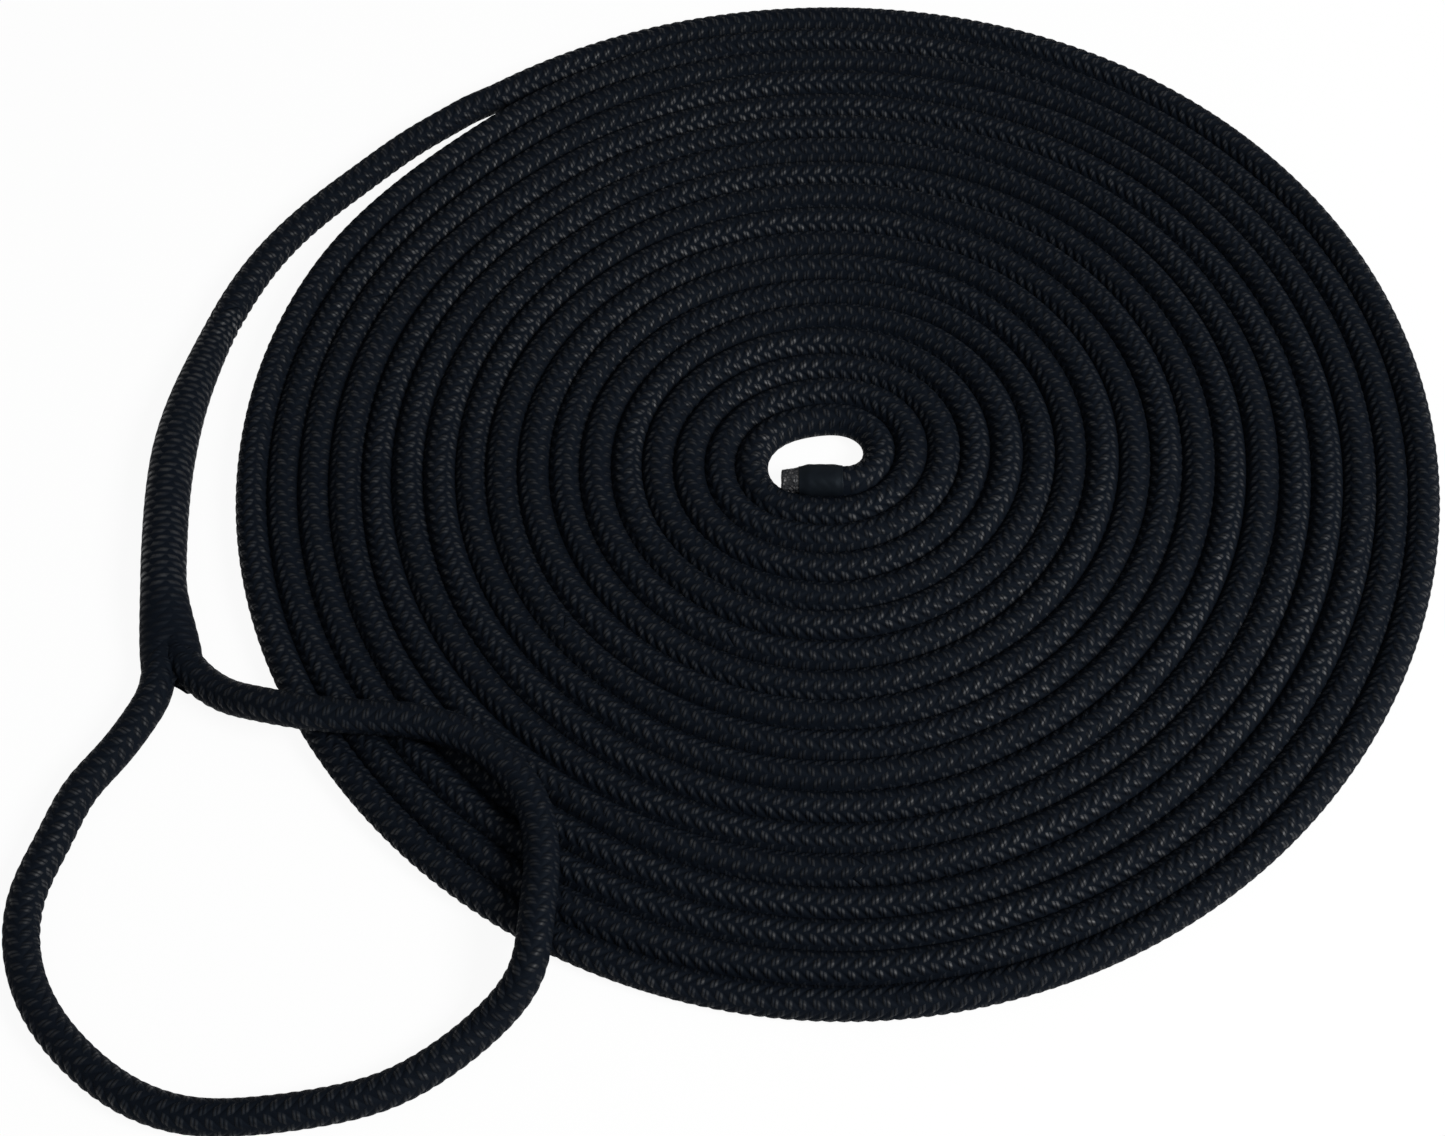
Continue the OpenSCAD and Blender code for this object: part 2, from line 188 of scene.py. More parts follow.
class StageSettings(bpy.types.PropertyGroup):
    """Camera, lamp and floor."""

    aim: place("Aim", "Point of the floor that the camera looks at", (-0.01446, -0.02959, 0.0))
    distance: length("Camera distance", "Distance from the camera to its aim", 0.991)
    elevation: angle("Camera elevation", "Angle of the view above the floor", 59.69)
    lens: focal("Lens", "Focal length of the camera", 61.26)
    key_azimuth: angle("Key azimuth", "Direction of the key lamp, from +X", -25)
    key_elevation: angle("Key elevation", "Height of the key lamp above the floor", 41)
    key_distance: length("Key distance", "Distance from the key lamp to the coil", 2.2)
    key_size: length("Key size", "Side of the square key lamp", 0.8)
    key_power: share("Key power", "Power of the key lamp in watts", 60.0)
    sky: share("Sky", "Strength of the even light from all round", 0.45)
    floor_side: length("Floor side", "Side of the square floor", 40.0)
    floor_glow: share("Floor glow", "Share of plain white in what the camera sees of the floor", 0.93)


class DockLineSettings(bpy.types.PropertyGroup):
    """Everything that a user would change."""

    rope: PointerProperty(type=RopeSizes)
    coil: PointerProperty(type=CoilSizes)
    end: PointerProperty(type=EndSizes)
    splice: PointerProperty(type=SpliceSizes)
    colours: PointerProperty(type=RopeColours)
    stage: PointerProperty(type=StageSettings)


def smooth(x):
    """Eases from 0 to 1: three x squared less two x cubed, held level outside 0 to 1."""
    x = np.clip(x, 0.0, 1.0)
    return x * x * (3 - 2 * x)


def flat_dir(a):
    """Level unit vector at angle a."""
    return np.stack([np.cos(a), np.sin(a)], axis=-1)


def unit(v):
    """Vectors divided by their lengths."""
    return v / np.linalg.norm(v, axis=-1, keepdims=True)


def bell(t, at, width):
    """The turn whose like place is nearest t, counted from the place after `at` turns, and a bell round that
    place: e to the power of minus the square of t's distance from it over the width."""
    turn = np.round(t - at)
    return turn, np.exp(-((t - at - turn) / width) ** 2)


def path_length(points):
    """Length along a chain of points to each of them: the sum of its steps."""
    steps = np.linalg.norm(np.diff(points, axis=0), axis=1)
    return np.concatenate([[0.0], np.cumsum(steps)])


def lifted(xy, z):
    """Level points given a height."""
    xy = np.atleast_2d(xy)
    return np.column_stack([xy, np.broadcast_to(z, len(xy))])


class Line:
    """One smooth line through knots. Between two knots it is a cubic, and its bend runs on evenly from one
    cubic to the next. Places on it are given by the length from its start."""

    STEP = 0.0005

    def __init__(self, knots):
        knots = np.asarray(knots, float)
        chord = path_length(knots)
        fine = np.linspace(0.0, chord[-1], math.ceil(chord[-1] / self.STEP))
        self.points = self.through(chord, knots, fine)
        self.along = path_length(self.points)
        self.heading = unit(np.gradient(self.points, self.along, axis=0))
        self.knot_along = np.interp(chord, fine, self.along)
        self.length = self.along[-1]

    @staticmethod
    def through(x, y, at):
        """Natural cubic spline: the second derivatives at the knots solve one linear system."""
        h = np.diff(x)
        system = np.eye(len(x))
        rows = np.arange(1, len(x) - 1)
        system[rows, rows - 1] = h[:-1]
        system[rows, rows] = 2 * (h[:-1] + h[1:])
        system[rows, rows + 1] = h[1:]
        slope = np.diff(y, axis=0) / h[:, None]
        bend = np.linalg.solve(system, np.pad(6 * np.diff(slope, axis=0), ((1, 1), (0, 0))))
        i = np.clip(np.searchsorted(x, at) - 1, 0, len(h) - 1)
        b = ((at - x[i]) / h[i])[:, None]
        a = 1 - b
        bent = (a**3 - a) * bend[i] + (b**3 - b) * bend[i + 1]
        return a * y[i] + b * y[i + 1] + bent * h[i][:, None] ** 2 / 6

    def count_picks(self, pick):
        """Counts the picks from the start to each fine point: the sum of the steps, each over its pick."""
        self.picks = np.concatenate([[0.0], np.cumsum(np.diff(self.along) / pick)])

    def pick_at(self, along):
        """Picks from the start to a place on the line."""
        return np.interp(along, self.along, self.picks)

    def at(self, along):
        """Points of the line and, at each, the level direction to its right and the one square to both."""
        def between(values):
            return np.stack([np.interp(along, self.along, column) for column in values.T], axis=-1)

        points, ahead = between(self.points), unit(between(self.heading))
        right = unit(np.stack([ahead[..., 1], -ahead[..., 0], np.zeros(along.shape)], axis=-1))
        return points, right, np.cross(right, ahead)


class DockLine:
    """Middle lines and sections of the dock line. They follow the solids, apart from what soft rope does."""

    def __init__(self, settings):
        self.rope, self.coil = settings.rope, settings.coil
        self.end, self.splice = settings.end, settings.splice
        self.rope_r = self.rope.diameter / 2
        self.pitch = self.rope.diameter + self.coil.lay_gap
        self.turns = self.coil.whole_turns + (self.coil.leave_angle - self.coil.start_angle) / (2 * math.pi)
        self.coil_z = self.rope_r - self.rope.coil_sink
        self.stretch_z = self.rope_r - self.rope.stretch_sink
        self.sleeve_r = (SLEEVE_HIGH.z - SLEEVE_LOW.z) / 2
        self.end_straight = SLEEVE_HIGH.x - SLEEVE_LOW.x + 2 * self.end.sleeve_setback
        # The solids' turns have a flat top, this far to each side of upright
        flat_half_angle = math.radians(20)
        coil_top = self.coil_z + self.rope_r * math.cos(flat_half_angle)
        self.top_z = coil_top + self.splice.seat_gap + self.rope_r
        self.core_r = self.rope_r - self.splice.cover_wall - self.splice.core_gap
        self.full_core_r = math.hypot(self.core_r, self.splice.tail_diameter / 2 + self.splice.core_gap)
        self.throat_half_w = self.rope.diameter - self.splice.leg_press / 2 + self.splice.throat_rim
        self.throat_half_h = self.rope_r + self.splice.throat_rim
        self.shift = np.zeros(2)
        sleeve_start = self.end_xy(self.end.sleeve_setback)
        self.shift = np.array([SLEEVE_LOW.x, (SLEEVE_LOW.y + SLEEVE_HIGH.y) / 2]) - sleeve_start
        self.lay_standing()
        self.lay_eye()
        self.lay_whole()
        self.count_picks()

    def coil_xy(self, t):
        """Middle of the rope after t turns: an outward spiral, a little oval, whose three lobes grow and
        whose middle moves back to the coil's centre turn by turn. The first six lean in below the sleeve."""
        c, t = self.coil, np.asarray(t, float)
        a = c.start_angle + 2 * math.pi * t
        middle = (c.off_centre * (1 - t / self.turns))[..., None] * flat_dir(c.off_angle)
        below_sleeve, lean_width, leaning_turns, wander_waves = 0.67, 0.1, 6, 2.7
        turn, beside = bell(t, below_sleeve, lean_width)
        lean = beside * np.clip(1 - turn / leaning_turns, 0.0, 1.0)
        radius = (c.first_radius + self.pitch * t + c.oval * np.cos(2 * (a - c.oval_angle))
                  + c.lobe * t / self.turns * np.cos(3 * (a - c.lobe_angle))
                  - c.nestle * lean + c.wander * np.sin(wander_waves * a) * np.minimum(t, 1.0))
        return self.shift + middle + radius[..., None] * flat_dir(a)

    def coil_height(self, t):
        """Height of the rope's middle after t turns. It rises and falls along the turns, out of step with
        the turns beside them, and lies level at both ends of the coil."""
        waves, stray, stray_waves, level_end = 1.37, 0.9, 0.31, 0.3
        a = 2 * math.pi * t
        wave = 0.5 - 0.5 * np.cos(waves * a + stray * np.sin(stray_waves * a))
        return self.coil_z + self.coil.ride * wave * smooth(t) * smooth((self.turns - t) / level_end)

    def drawn_in(self, t):
        """How far the rope is drawn in after t turns: most in the outermost turn, beside the start of the
        run, and less in each of the eight turns inside it."""
        degrees_past, width, drawn_turns = 11, 0.042, 9
        turn, beside = bell(t, self.turns - 1 + degrees_past / 360, width)
        return self.coil.drawn_in * beside * np.clip(1 + turn / drawn_turns, 0.0, 1.0) * (turn < 1)

    def coil_heading(self, t):
        """Direction of the rope after t turns, from two points close beside it."""
        step = 0.001
        v = self.coil_xy(t + step) - self.coil_xy(t - step)
        return math.atan2(v[1], v[0])

    def bend_xy(self, a):
        """The bend that leads from the straight end into the first turn, at heading a."""
        r, square = self.end.bend_radius, math.pi / 2
        centre = self.coil_xy(0.0) - r * flat_dir(self.coil_heading(0.0) - square)
        return centre + r * flat_dir(np.asarray(a) - square)

    def end_xy(self, along):
        """The straight bitter end, along from the base of the tip."""
        back = np.asarray(self.end_straight - along)
        return self.bend_xy(0.0) - back[..., None] * np.array([1.0, 0.0])

    def route(self, route):
        """Points beside or on the outermost turn, at their angle, clear room and level."""
        angle_past, room, level = np.array(route, float).T
        t = self.turns - 1 + angle_past / 360
        out = flat_dir(self.coil.start_angle + 2 * math.pi * t)
        xy = self.coil_xy(t) + (self.rope.diameter + room)[:, None] * out
        return lifted(xy, self.stretch_z + level * (self.top_z - self.stretch_z))

    def lay_standing(self):
        """Middle line from the bitter end through the coil and the run to just past the throat."""
        end_knots, bend_knots = 4, 6
        ends = lifted(self.end_xy(np.arange(end_knots) / end_knots * self.end_straight), self.sleeve_r)
        easing = np.arange(bend_knots) / bend_knots
        bend_z = self.sleeve_r + (self.coil_z - self.sleeve_r) * smooth(easing)
        bend = lifted(self.bend_xy(self.coil_heading(0.0) * easing), bend_z)
        steps = math.floor(self.turns * self.coil.knots_per_turn)
        t = np.linspace(0, self.turns, steps + 1)
        out = flat_dir(self.coil.start_angle + 2 * math.pi * t)
        coiled = lifted(self.coil_xy(t) - self.drawn_in(t)[:, None] * out, self.coil_height(t))
        leaving = np.append(flat_dir(self.coil_heading(self.turns)), 0.0)
        coil_end = coiled[-1] + self.rope.diameter * leaving
        stub = coil_end + self.rope.diameter * leaving + [0, 0, self.stretch_z - self.coil_z]
        run = self.route(RUN_ROUTE)
        splice = self.route(SPLICE_ROUTE)
        chord = path_length(splice)
        splice[:, 2] = self.half(chord / chord[-1], self.throat_half_h) - self.rope.stretch_sink
        self.throat = splice[-1]
        self.throat_ahead = unit((splice[-1] - splice[-2]) * [1, 1, 0])
        past = self.throat + 2 * self.splice.tuck * self.throat_ahead
        self.standing_knots = np.concatenate([ends, bend, coiled, [coil_end, stub], run, splice, [past]])
        self.standing = Line(self.standing_knots)
        last = len(self.standing_knots) - 1
        self.splice_end = self.standing.knot_along[last - 1]
        self.splice_start = self.standing.knot_along[last - len(splice)]
        self.coil_end = self.standing.knot_along[last - len(splice) - len(run) - 2]

    def leg(self, side, ahead):
        """A point on a leg's straight start: side is -1 for the left leg and 1 for the right one."""
        heading = math.atan2(self.throat_ahead[1], self.throat_ahead[0]) + side * self.splice.leg_angle
        out = np.append(flat_dir(heading + side * math.pi / 2), 0.0)
        return (self.throat + (self.rope_r - self.splice.leg_press / 2) * out
                + ahead * np.append(flat_dir(heading), 0.0))

    def lay_eye(self):
        """Middle line of the eye. Its legs start inside the splice, and the right one bends away sooner."""
        steps = np.array([-2, -1, 0, 1]) * self.rope.diameter
        left = [self.leg(-1, step) for step in steps]
        right = [self.leg(1, step) for step in steps[-2::-1]]
        self.eye_knots = np.concatenate([left, self.route(EYE_ROUTE), right])
        self.eye = Line(self.eye_knots)

    def lay_whole(self):
        """Middle line of the whole rope: the standing part, then round the eye to its right leg. The last
        knots before the throat and the legs' ends inside the splice are left out."""
        before_throat, leg_ends = 3, 2
        standing = self.standing_knots[:-1 - before_throat]
        self.whole = Line(np.concatenate([standing, self.eye_knots[leg_ends:-leg_ends]]))

    def round_r(self, u):
        """Outside radius of the splice, at share u of its length, swollen by the tail in its core."""
        swollen = self.core_r + (self.full_core_r - self.core_r) * smooth(u / self.splice.tail_taper)
        return swollen + self.splice.core_gap + self.splice.cover_wall

    def half(self, u, at_throat):
        """Half of the splice's width or height. From the round it eases to what it is at the throat."""
        widened = smooth((u - self.splice.throat_from) / (1 - self.splice.throat_from))
        return self.round_r(u) + (at_throat - self.round_r(u)) * widened

    def splice_share(self, along):
        """Share of the splice's length, 0 before it and over 1 past the throat."""
        return np.maximum(0.0, (along - self.splice_start) / (self.splice_end - self.splice_start))

    def count_picks(self):
        """Counts the picks along the standing part, whose braid opens in the splice, and along the eye."""
        open_from = 0.3
        opened = smooth(self.splice_share(self.standing.along[1:]) / open_from)
        self.standing.count_picks(self.rope.pick + (self.splice.pick - self.rope.pick) * opened)
        self.eye.count_picks(self.rope.pick)

    def turn_marks(self):
        """Whole picks at which one length of the coil's cover ends and the next starts."""
        last = math.floor(self.standing.pick_at(self.coil_end))
        return [int(mark) for mark in np.round(np.linspace(1, last, self.coil.cover_lengths + 1))]

    def splice_marks(self):
        """Whole picks at which the splice's cover starts and ends."""
        past = self.splice_end + self.splice.tuck
        return [math.floor(self.standing.pick_at(along)) for along in (self.splice_start, past)]

    def eye_marks(self):
        """Whole picks at which the eye's cover starts and ends, inside the splice."""
        starts_at, stops_short = 1, 2
        return starts_at, math.floor(self.eye.picks[-1]) - stops_short


def zigzag(column):
    """Row lines of a braid: they climb a pick over two columns and fall as far over the next two, as the
    strands do."""
    return 0.5 - np.abs(np.mod(column + 0.5, 4.0) - 2.0) / 2


def strand_away(column):
    """Distance in columns from the middle of the nearest stripe where the right-hand strands lie on top."""
    return np.abs(np.mod(column + 1.5, 4.0) - 2.0)


def braid_height(column, pick):
    """Height of a two-over-two-under braid, from 0 in its gaps to 1 on its crowns. Right-hand strands lie
    where pick less half the column is whole, left-hand ones where their sum is. Each rises over two crossing
    strands and dives under the next two, and the higher one shows."""
    def strand(phase, away):
        crown = np.abs(np.cos(np.pi * phase)) ** CROWN_POWER
        rise = np.cos(np.pi / 2 * np.minimum(away / RISE_REACH, 1.0)) ** RISE_POWER
        return crown * rise

    away = strand_away(column)
    return np.maximum(strand(pick - column / 2, away), strand(pick + column / 2, 2 - away))


def loop_faces(rings, around):
    """Quads of a grid that closes on itself both ways."""
    i, j = np.divmod(np.arange(rings * around), around)
    here, there = i * around, (i + 1) % rings * around
    j_next = (j + 1) % around
    return np.stack([here + j, there + j, there + j_next, here + j_next], axis=1)


def capped_faces(rings, around):
    """Quads between the rings of a grid, and a fan of triangles at each end to a pole: the poles are the two
    points after the grid's."""
    j = np.arange(around)
    j_next = (j + 1) % around
    last = (rings - 1) * around
    first_fan = np.stack([np.full(around, rings * around), j, j_next], axis=1)
    last_fan = np.stack([np.full(around, rings * around + 1), last + j_next, last + j], axis=1)
    return [loop_faces(rings, around)[:last], first_fan, last_fan]


def make_piece(name, points, face_groups, material, maps=None):
    """A mesh object from points and groups of faces with equal corners, with smooth shading and UV maps."""
    mesh = bpy.data.meshes.new(name)
    corners = np.concatenate([group.ravel() for group in face_groups]).astype(np.int32)
    sizes = np.concatenate([np.full(len(group), group.shape[1]) for group in face_groups])
    mesh.vertices.add(len(points))
    mesh.vertices.foreach_set("co", points.astype(np.float32).ravel())
    mesh.loops.add(len(corners))
    mesh.loops.foreach_set("vertex_index", corners)
    mesh.polygons.add(len(sizes))
    mesh.polygons.foreach_set("loop_start", (np.cumsum(sizes) - sizes).astype(np.int32))
    mesh.polygons.foreach_set("use_smooth", np.ones(len(sizes), bool))
    for map_name, uv in (maps or {}).items():
        mesh.uv_layers.new(name=map_name).uv.foreach_set("vector", uv.astype(np.float32).ravel())
    mesh.update(calc_edges=True)
    mesh.materials.append(material)
    piece = bpy.data.objects.new(name, mesh)
    bpy.context.scene.collection.objects.link(piece)
    return piece


def strip_map(rings, around, strips):
    """Corners of a closed grid laid out flat in a square: its rings are cut into strips, side by side."""
    i, j = np.divmod(np.arange(rings * around), around)
    per_strip = math.ceil(rings / strips)
    strip, ring = np.divmod(i, per_strip)
    margin = 0.03
    across = [(strip + margin + (1 - 2 * margin) * (j + step) / around) / strips for step in (0, 0, 1, 1)]
    along = [(ring + step) / per_strip for step in (0, 1, 1, 0)]
    return np.stack([np.stack(along, axis=1), np.stack(across, axis=1)], axis=-1)


def declare(piece, slot, *nodes):
    """Lets a piece ride on the body and hides the solids that it stands for. Its finish, slot, is not used.
    """
    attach(piece, BODY)
    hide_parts(*nodes)


def braided_tube(name, line, span, grid, rope, section, material, *nodes):
    """A hollow braided cover. Its outer rings run in zigzag along the strands, several to each pick, and its
    inner rings go back at one to each pick. A point lies at its pick on the line and at its column round it.
    section gives half the width and height, the depth of the relief and a factor on the height. nodes are
    the solids that the cover stands for."""
    rows, per_pair = grid
    around = rope.carriers * per_pair // 2
    column = np.arange(around) * 2 / per_pair
    first, last = span
    lead = 0.25
    outer = first + lead + np.arange((last - first) * rows + 1) / rows
    inner = last + lead - np.arange(last - first + 1)
    row = np.concatenate([outer, inner])[:, None]
    pick = row + zigzag(column)
    along = np.interp(pick, line.picks, line.along)
    points, right, up = line.at(along)
    roll = rope.roll_start + rope.roll * np.sin(2 * np.pi * along / rope.roll_length)
    turn = 2 * np.pi * column / rope.carriers + roll
    half_w, half_h, relief, squeeze = section(along, turn)
    skin = (np.arange(len(row)) < len(outer))[:, None]
    depth = np.where(skin, relief * (1 - braid_height(column, pick)), rope.cover_wall + rope.proud)
    points = (points + (half_w - depth)[..., None] * np.cos(turn)[..., None] * right
              + ((half_h - depth) * np.sin(turn) * squeeze)[..., None] * up)
    points[..., 2] = np.maximum(points[..., 2], 0.0)
    rings = len(row)
    faces = loop_faces(rings, around)
    corner_turn = (faces[:, :1] % around + np.array([0, 0, 1, 1])) / around
    strips = max(1, round(math.sqrt(rings * rope.pick / rows / (np.pi * rope.diameter))))
    maps = {BRAID_MAP: np.stack([corner_turn, pick.ravel()[faces]], axis=-1),
            BAKE_MAP: strip_map(rings, around, strips)}
    piece = make_piece(name, points.reshape(-1, 3), [faces], material, maps)
    declare(piece, "rope_cover", *nodes)


def loose_section(rope, start):
    """Section of rope outside the coil for braided_tube: it swells from start on, and its strands lie
    flatter."""
    flatter = 0.65

    def section(along, turn):
        radius = rope.diameter / 2 + rope.proud + rope.swell * smooth((along - start) / rope.swell_length)
        return radius, radius, rope.relief * flatter, 1.0

    return section


def turn_section(dock_line):
    """Section of a turn in the coil for braided_tube: below its shoulders it spreads against its neighbours,
    and the strands are pressed smooth there. The outermost turn has no neighbour on its right."""
    rope = dock_line.rope
    # About where the outermost turn starts
    outermost = dock_line.coil_end - 2 * math.pi * dock_line.pitch * dock_line.turns
    free_over, shoulder, fall, pressed = 0.06, 0.62, 0.6, 0.8

    def section(along, turn):
        radius = np.full(along.shape, rope.diameter / 2 + rope.proud)
        free = smooth((along - outermost) / free_over) * (np.cos(turn) > 0)
        low = smooth((shoulder - np.sin(turn)) / fall) * (1 - free)
        return radius + rope.spread * low, radius, rope.relief * (1 - pressed * low), 1.0

    return section


def splice_section(dock_line):
    """Section of the splice for braided_tube: a round that swells, widens to an oval at the throat and draws
    in again on the legs past it. A crease sinks between the legs, and the strands of the drawn cover lie
    flatter."""
    rope, splice = dock_line.rope, dock_line.splice
    narrower, lower, flatter, flat_from = 0.2, 0.3, 0.75, 0.12
    crease_depth, crease_from, crease_over, crease_width = 0.6, 0.9, 0.14, 0.6

    def section(along, turn):
        u = dock_line.splice_share(along)
        inside = np.minimum(u, 1.0)
        tucked = smooth((along - dock_line.splice_end) / splice.tuck)
        fuller = rope.proud + rope.swell
        half_w = dock_line.half(inside, dock_line.throat_half_w) * (1 - narrower * tucked) + fuller
        half_h = dock_line.half(inside, dock_line.throat_half_h) * (1 - lower * tucked) + fuller
        relief = rope.relief * (1 - flatter * smooth(u / flat_from))
        crease = crease_depth * smooth((u - crease_from) / crease_over)
        across = half_w * np.cos(turn) / dock_line.rope_r
        return half_w, half_h, relief, 1 - crease * np.exp(-(across / crease_width) ** 2)

    return section


def round_x(x, r, turn, low, high):
    """Points at x, at radius r and angle turn round the middle of a box, which its two corners give."""
    y = (low.y + high.y) / 2 - r * np.cos(turn)
    z = (low.z + high.z) / 2 + r * np.sin(turn)
    return np.stack(np.broadcast_arrays(x, y, z), axis=-1)


def shrunk_sleeve(wall, rope):
    """A closed shell round the X axis: its outside goes from the tip to the rope and its bore comes back.
    The edges draw in, one of them over the tip's shoulder, the strands of the rope print through faintly,
    and shallow creases run along it."""
    around, steps = 96, 48
    over_tip, tip_edge, rope_edge = 0.0004, 0.0045, 0.0035
    tip_draw, rope_draw, print_depth, wall_share = 0.0009, 0.0005, 0.00012, 0.8
    creases, crease_height, stray, stray_waves = 5, 0.00006, 2.0, 4
    radius = (SLEEVE_HIGH.z - SLEEVE_LOW.z) / 2
    turn = 2 * np.pi * np.arange(around) / around
    x = np.linspace(0.0, 1.0, steps + 1)[:, None]
    start = TIP_HIGH.x - over_tip
    long = SLEEVE_HIGH.x - start
    drawn_tip, drawn_rope = 1 - smooth(x * long / tip_edge), 1 - smooth((1 - x) * long / rope_edge)
    print_through = braid_height(turn * rope.carriers / (2 * np.pi), x * long / rope.pick)
    crease = np.sin(creases * turn + stray * np.sin(stray_waves * x)) * np.sin(np.pi * x)
    outer = (radius - tip_draw * drawn_tip - rope_draw * drawn_rope + crease_height * crease
             - print_depth * (1 - print_through) * (1 - drawn_tip) * (1 - drawn_rope))
    r = np.concatenate([outer, outer[::-1] - wall_share * wall])
    points = round_x(start + long * np.concatenate([x, x[::-1]]), r, turn, SLEEVE_LOW, SLEEVE_HIGH)
    points[..., 2] = np.maximum(points[..., 2], 0.0)
    return points.reshape(-1, 3), [loop_faces(len(r), around)]


def melted_tip():
    """A short blunt cone round the X axis from its end to its shoulder. Waves round it and along it make the
    lumps of melted nylon, and the end face is dished where it was pressed flat."""
    around = 96
    blunt, rim, dish_depth, lump, smooth_base = 0.83, 0.0011, 0.0004, 0.045, 0.002
    ripple, ripple_times, ripple_rate = 0.00015, 5, 3000
    # Height of each wave, times round the tip, radians to the metre along it, and phase
    waves = ((0.5, 3, 900, 0.0), (0.35, 7, -1500, 1.0), (0.25, 13, 2300, 2.0))
    long, base_r = TIP_HIGH.x - TIP_LOW.x, (TIP_HIGH.z - TIP_LOW.z) / 2
    end_r = blunt * base_r
    corner = np.linspace(0, np.pi / 2, 7)
    face = np.linspace(0.08, 0.9, 9) * (end_r - rim)
    side = np.linspace(0.2, 1.0, 16)
    r = np.concatenate([face, end_r - rim + rim * np.sin(corner), end_r + (base_r - end_r) * side])[:, None]
    back = np.concatenate([0 * face, rim * (1 - np.cos(corner)), rim + (long - rim) * side])[:, None]
    turn = 2 * np.pi * np.arange(around) / around
    lumps = sum(high * np.sin(times * turn + along * back + phase) for high, times, along, phase in waves)
    r = r * (1 + lump * lumps * np.clip((long - back) / smooth_base, 0.0, 1.0))
    dish = dish_depth * (1 - (r / end_r) ** 2) * (back < rim)
    dish += ripple * np.sin(ripple_times * turn + ripple_rate * r) * (back < rim / 2)
    points = round_x(TIP_LOW.x + np.maximum(back + dish, 0.0), r, turn, TIP_LOW, TIP_HIGH)
    poles = round_x(np.array([TIP_LOW.x + dish_depth, TIP_HIGH.x]), 0.0, 0.0, TIP_LOW, TIP_HIGH)
    return np.concatenate([points.reshape(-1, 3), poles]), capped_faces(len(r), around)


class Wire:
    """A socket of a material. Sums, products and powers of wires and numbers add Math nodes, and so does
    math, which takes the operation and what comes after the wire itself."""

    def __init__(self, recipe, socket):
        self.recipe, self.socket = recipe, socket

    def math(self, operation, *others):
        return self.recipe.node("ShaderNodeMath", {"operation": operation}, dict(enumerate((self, *others))))

    def __add__(self, other):
        return self.math("ADD", other)

    def __sub__(self, other):
        return self.math("SUBTRACT", other)

    def __rsub__(self, other):
        return self.math("MULTIPLY_ADD", -1.0, other)

    def __mul__(self, other):
        return self.math("MULTIPLY", other)

    def __truediv__(self, other):
        return self.math("DIVIDE", other)

    def __pow__(self, other):
        return self.math("POWER", other)

    __radd__ = __add__
    __rmul__ = __mul__


class Recipe:
    """A material and the nodes that make it."""

    def __init__(self, name):
        self.material = bpy.data.materials.new(name)
        self.material.use_nodes = True
        self.tree = self.material.node_tree
        self.tree.nodes.clear()

    def node(self, kind, settings=None, sockets=None, out=0):
        """Adds a node: its settings are set first, then the values or links of its sockets."""
        node = self.tree.nodes.new(kind)
        for name, value in (settings or {}).items():
            setattr(node, name, value)
        for name, value in (sockets or {}).items():
            if isinstance(value, Wire):
                self.tree.links.new(value.socket, node.inputs[name])
            else:
                node.inputs[name].default_value = value
        return Wire(self, node.outputs[out])

    def mix(self, factor, a, b):
        """Colour between a and b."""
        return self.node("ShaderNodeMix", {"data_type": "RGBA"}, {0: factor, 6: a, 7: b}, out=2)

    def noise(self, where, scale, detail=3.0):
        """Soft noise about 0.5."""
        return self.node("ShaderNodeTexNoise", {}, {"Vector": where, "Scale": scale, "Detail": detail})

    def spot(self):
        """Place on the piece."""
        return self.node("ShaderNodeTexCoord", out="Object")

    def bump(self, strength, distance, height):
        """Normal of a surface raised by a height."""
        sockets = {"Strength": strength, "Distance": distance, "Height": height}
        return self.node("ShaderNodeBump", {}, sockets)

    def finish(self, shader):
        """Joins the shader to the material's output."""
        output = self.tree.nodes.new("ShaderNodeOutputMaterial")
        self.tree.links.new(shader.socket, output.inputs["Surface"])
        return self.material

    def surface(self, sockets):
        """Ends the material in one shader with these sockets."""
        return self.finish(self.node("ShaderNodeBsdfPrincipled", {}, sockets))


def opaque(rgb, factor=1.0):
    """A colour for a node's socket, made darker or paler by a factor."""
    return (*(factor * c for c in rgb), 1.0)


